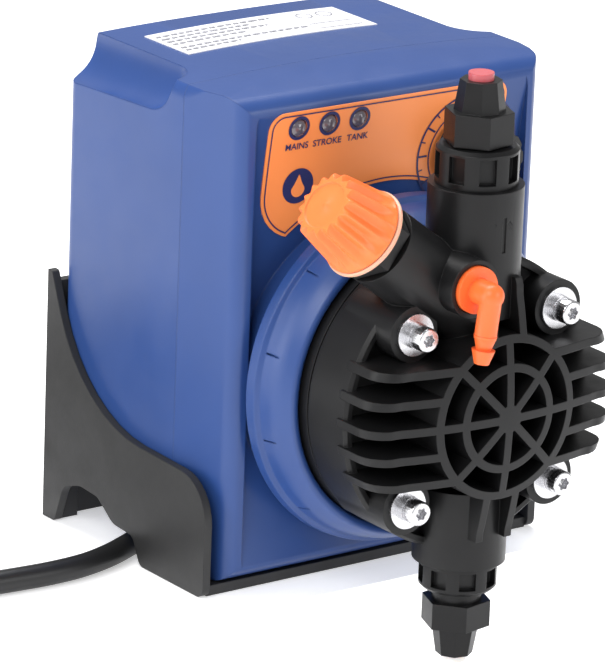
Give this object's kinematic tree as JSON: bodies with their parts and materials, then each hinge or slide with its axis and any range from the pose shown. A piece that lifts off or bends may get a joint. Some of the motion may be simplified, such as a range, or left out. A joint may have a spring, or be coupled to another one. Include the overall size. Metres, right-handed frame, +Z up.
{
  "type": "diaphragm dosing pump",
  "caption": "Solenoid diaphragm dosing pump in a two-part housing on a wall bracket, with finned head, valves, bleed elbow and mains lead.",
  "frame": {"origin": "centre of the base screw pattern, on the bracket's underside", "axes": "+Z up, out of the base; the pump head faces -Y; +X to the right seen from the front"},
  "size_m": [0.2449, 0.1933, 0.1711],
  "materials": {
    "housing_plastic": "satin moulded plastic, fine grain",
    "orange_label": "printed polyester film, semi-matt",
    "white_label": "coated paper label with grey print",
    "bracket_plastic": "matt glass-filled plastic",
    "zinc_steel": "bright zinc plate",
    "black_rubber": "soft matt rubber",
    "cable_jacket": "black flexible jacket, slight sheen",
    "plug_rubber": "moulded black plug",
    "nickel_pins": "nickel plate",
    "circuit_board": "green solder mask",
    "component_plastic": "moulded component cases",
    "lamp_lens": "dark tinted dome lens",
    "knob_black": "satin black",
    "coil_winding": "enamelled copper winding under tape",
    "bare_steel": "turned steel",
    "brass_bush": "turned brass",
    "ptfe_white": "smooth white film",
    "head_plastic": "glass-filled moulded plastic, satin",
    "ceramic_ball": "polished",
    "red_plastic": "moulded",
    "white_plastic": "moulded",
    "orange_plastic": "moulded, satin"
  },
  "bodies": {
    "pump": {"rear_housing": "housing_plastic", "front_cover": "housing_plastic", "control_label": "orange_label", "rating_label": "white_label", "mounting_bracket": "bracket_plastic", "bracket_screws": "zinc_steel", "housing_screws": "zinc_steel", "cable_gland": "black_rubber", "power_cable": "cable_jacket", "cable_coil": "cable_jacket", "cable_tail": "cable_jacket", "mains_plug": "plug_rubber", "plug_pins": "nickel_pins", "control_board": "circuit_board", "board_parts": "component_plastic", "led_board": "circuit_board", "power_led": "lamp_lens", "pulse_led": "lamp_lens", "level_led": "lamp_lens", "potentiometer": "zinc_steel", "solenoid_can": "zinc_steel", "solenoid_coil": "coil_winding", "solenoid_pole": "bare_steel", "guide_tube": "brass_bush", "end_bumper": "black_rubber", "rod_bush": "brass_bush", "return_spring": "bare_steel", "diaphragm": "ptfe_white", "head_backplate": "head_plastic", "pump_head": "head_plastic", "head_screws": "zinc_steel", "spring_washers": "zinc_steel", "flat_washers": "zinc_steel", "discharge_valve": "head_plastic", "discharge_seal": "black_rubber", "discharge_nut": "head_plastic", "discharge_plug": "red_plastic", "suction_valve": "head_plastic", "suction_seal": "black_rubber", "suction_nut": "head_plastic", "suction_plug": "white_plastic", "bleed_body": "head_plastic"},
    "plunger": {"armature": "bare_steel", "push_rod": "bare_steel", "diaphragm_insert": "bare_steel"},
    "flow_dial": {"flow_knob": "knob_black"},
    "bleed_carriage": {"bleed_seal": "black_rubber"},
    "bleed_screw": {"bleed_knob": "orange_plastic", "bleed_stem": "white_plastic"},
    "elbow": {"bleed_elbow": "orange_plastic"},
    "upper_ball": {"discharge_ball": "ceramic_ball"},
    "lower_ball": {"suction_ball": "ceramic_ball"}
  },
  "joints": [
    {"name": "plunger_stroke", "type": "slide", "parent": "pump", "child": "plunger", "axis": [0, -1, 0], "range_m": [0, 0.0012], "stiffness_N_per_m": 4000, "springref_m": -0.002, "deforming": ["return_spring", "diaphragm"]},
    {"name": "flow_turn", "type": "hinge", "parent": "pump", "child": "flow_dial", "pos_m": [0.028, -0.03, 0.119], "axis": [0, -1, 0], "range_deg": [-150, 150]},
    {"name": "bleed_turn", "type": "hinge", "parent": "bleed_carriage", "child": "bleed_screw", "pos_m": [-0.04014, -0.06, 0.11631], "axis": [-0.8028, 0, 0.5962], "range_deg": [0, 360]},
    {"name": "bleed_travel", "type": "slide", "parent": "pump", "child": "bleed_carriage", "axis": [-0.8028, 0, 0.5962], "range_m": [0, 0.001]},
    {"name": "elbow_swivel", "type": "hinge", "parent": "pump", "child": "elbow", "pos_m": [-0.012, -0.07, 0.0995], "axis": [0, -1, 0], "range_deg": [-170, 170]},
    {"name": "upper_ball_lift", "type": "slide", "parent": "pump", "child": "upper_ball", "axis": [0, 0, 1], "range_m": [0, 0.002]},
    {"name": "lower_ball_lift", "type": "slide", "parent": "pump", "child": "lower_ball", "axis": [0, 0, 1], "range_m": [0, 0.002]}
  ],
  "couplings": [
    {"joint": "bleed_travel", "follows": "bleed_turn", "m_per_rad": 0.00015915}
  ]
}
